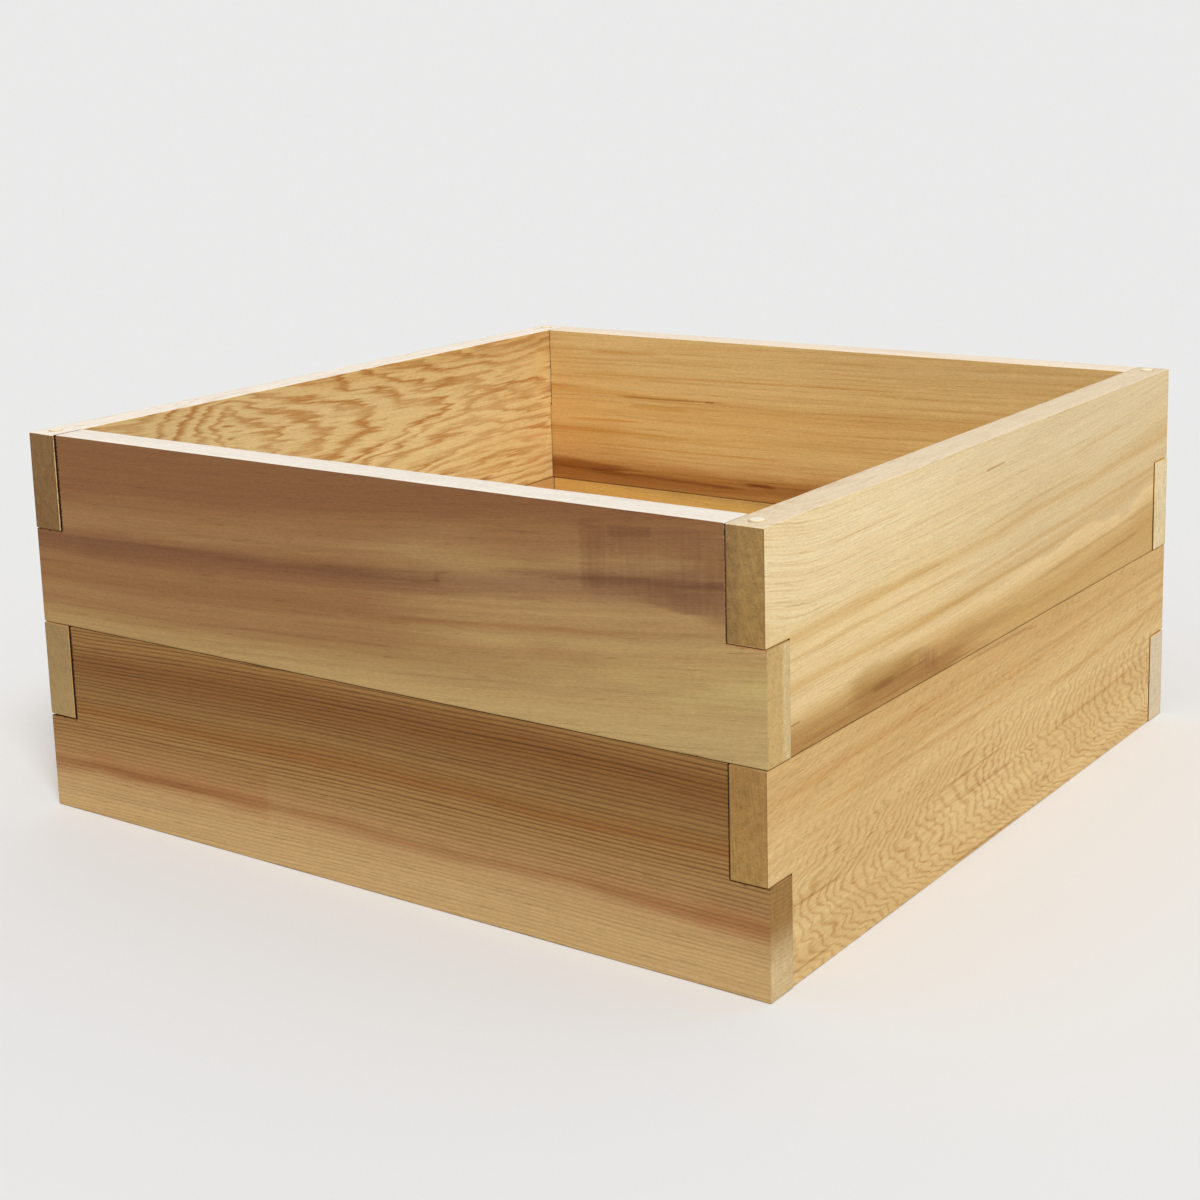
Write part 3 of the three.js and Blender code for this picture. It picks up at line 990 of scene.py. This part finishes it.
def bore(board, places):
    """Cuts a pin hole up through the board at each place along it."""
    form = bmesh.new()
    for x in places:
        bmesh.ops.create_cone(
            form, cap_ends=True, segments=ROUND_SIDES, radius1=HOLE_RADIUS, radius2=HOLE_RADIUS,
            depth=2 * BOARD_HEIGHT, matrix=Matrix.Translation((x, 0, BOARD_HEIGHT / 2)),
        )
    cutter_mesh = bpy.data.meshes.new("bit")
    form.to_mesh(cutter_mesh)
    form.free()
    cutter = new_object("bit", cutter_mesh)
    cut = board.modifiers.new("bore", "BOOLEAN")
    cut.operation = "DIFFERENCE"
    cut.solver = "EXACT"
    cut.object = cutter
    evaluated = board.evaluated_get(bpy.context.evaluated_depsgraph_get())
    bored = bpy.data.meshes.new_from_object(evaluated)
    board.modifiers.clear()
    blank = board.data
    board.data = bored
    bpy.data.meshes.remove(blank)
    bpy.data.objects.remove(cutter)
    bpy.data.meshes.remove(cutter_mesh)


def smooth(mesh):
    mesh.shade_smooth()
    mesh.set_sharp_from_angle(angle=SHARP_ANGLE)


# Quarter turns anticlockwise from the front, and which half of its height a board keeps as a tab.
SIDES = {"front": (0, "low"), "right": (1, "high"), "back": (2, "low"), "left": (3, "high")}

# How each board's joints depart from a perfect fit, in millimetres at its own left and right end,
# seen from outside: short of the full length, notch cut wider, and tab edge short of its line.
FITS = {
    "upper_front": {"short": (0.2, 0.3), "slack": (0.7, 0.3), "drop": (0.0, -0.35)},
    "upper_right": {"short": (0.5, 0.1), "slack": (0.0, 0.1), "drop": (0.3, 0.0)},
    "upper_back": {"short": (0.1, 0.3), "slack": (0.1, 0.0), "drop": (0.0, 0.1)},
    "upper_left": {"short": (0.2, 0.0), "slack": (0.0, 0.1), "drop": (0.1, 0.0)},
    "lower_front": {"short": (0.1, 0.2), "slack": (0.5, 0.1), "drop": (0.5, 0.0)},
    "lower_right": {"short": (0.3, 0.2), "slack": (0.1, 0.0), "drop": (0.0, 0.2)},
    "lower_back": {"short": (0.3, 0.1), "slack": (0.0, 0.1), "drop": (0.1, 0.0)},
    "lower_left": {"short": (0.1, 0.0), "slack": (0.1, 0.0), "drop": (0.0, 0.2)},
}


def make_board(course, side):
    level = COURSES.index(course)
    quarter_turns, tabs = SIDES[side]
    label = f"{course}_{side}"
    length, reach = (BED_WIDTH, BED_DEPTH / 2) if tabs == "low" else (BED_DEPTH, BED_WIDTH / 2)
    fit = {key: [value * MM for value in values] for key, values in FITS[label].items()}
    look = LOOKS[label]
    mesh = board_mesh(f"cedar_{label}", tabs, length, fit, look["seed"])
    board = new_object(f"cedar_{label}", mesh)
    bore(board, (PIN_INSET - length / 2, length / 2 - PIN_INSET))
    place = Matrix.Rotation(quarter_turns * math.pi / 2, 4, "Z") @ Matrix.Translation(
        (0, PIN_INSET - reach, level * BOARD_HEIGHT)
    )
    board.data.transform(place)
    smooth(board.data)
    board.data.materials.clear()
    board.data.materials.append(cedar(f"cedar_{label}", side, (level + 1) * BOARD_HEIGHT, look))
    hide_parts(f"{label}_board")
    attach(board, "bed")


# ---------------------------------------------------------------------------------------------
# Corner pins
# ---------------------------------------------------------------------------------------------


def dowel_material():
    material, g = new_material("dowel")
    place = g.scaled(g.node("ShaderNodeTexCoord").outputs["Object"], 1 / MM)
    upward = g.vector("MULTIPLY", place, (1, 1, 0.04))
    fibre = g.centred_noise(g.scaled(upward, 1.3), 3, 0.6)
    pores = g.noise(g.scaled(upward, 2.6), 1)
    # Both ends are painted near white: a painted highlight that stands in for the light on the top end.
    colour = g.mix(on_ends(g, 2), linear(232, 212, 172), linear(251, 242, 218))
    colour = g.scaled(colour, g.total(1, (fibre, 0.06), (g.ease(pores, 0.62, 0.75), -0.12)))
    bare_wood(g, colour, 0.6, 0.3, fibre, 0.4, 0.2 * MM)
    return material


def pin_mesh(name, low, high, seed):
    """A dowel from low to high, rounded at both ends and a little uneven."""
    length = high.z - low.z
    foot = [(0, 0)]
    steps = 4
    for i in range(steps + 1):
        turn = math.pi / 2 * i / steps
        foot.append((
            PIN_RADIUS - PIN_ROUNDING * (1 - math.sin(turn)),
            PIN_ROUNDING * (1 - math.cos(turn)),
        ))
    lengths = 24
    shaft = [
        (PIN_RADIUS, PIN_ROUNDING + (length - 2 * PIN_ROUNDING) * i / lengths) for i in range(1, lengths)
    ]
    profile = foot + shaft + [(radius, length - z) for radius, z in reversed(foot)]
    centre = (low + high) / 2
    form = bmesh.new()
    loops = []
    for radius, z in profile:
        if radius == 0:
            loops.append([form.verts.new((centre.x, centre.y, low.z + z))])
            continue
        loop = []
        for i in range(ROUND_SIDES):
            angle = math.tau * i / ROUND_SIDES
            across, upward = math.cos(angle), math.sin(angle)
            reach = radius + PIN_WEAR * (wander(across, upward, z, 1.0, seed) - 1)
            place = (centre.x + reach * across, centre.y + reach * upward, low.z + z)
            loop.append(form.verts.new(place))
        loops.append(loop)
    for lower, upper in zip(loops, loops[1:]):
        for i in range(ROUND_SIDES):
            after = (i + 1) % ROUND_SIDES
            corners = [lower[i % len(lower)], lower[after % len(lower)]]
            corners += [upper[after % len(upper)], upper[i % len(upper)]]
            form.faces.new(list(dict.fromkeys(corners)))
    bmesh.ops.recalc_face_normals(form, faces=form.faces)
    mesh = bpy.data.meshes.new(name)
    form.to_mesh(mesh)
    form.free()
    return mesh


def make_pins():
    material = dowel_material()
    leans = {
        "front_left": (0.7, 0.7), "front_right": (0.9, 0.4), "back_right": (-0.8, -0.5),
        "back_left": (0.3, -0.9),
    }
    for i, (corner, lean) in enumerate(leans.items()):
        low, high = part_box(f"{corner}_pin")
        shift = Vector((*lean, 0)) * PIN_LEAN
        name = f"dowel_{corner}"
        pin = new_object(name, pin_mesh(name, low + shift, high + shift, 11.0 * i))
        smooth(pin.data)
        pin.data.materials.append(material)
        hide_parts(f"{corner}_pin")
        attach(pin, f"{corner}_pin")


# ---------------------------------------------------------------------------------------------
# The scene
# ---------------------------------------------------------------------------------------------

bpy.context.scene.view_settings.view_transform = "Standard"
make_camera()
make_sun()
make_world()
make_floor()
for course in COURSES:
    for side in SIDES:
        make_board(course, side)
make_pins()
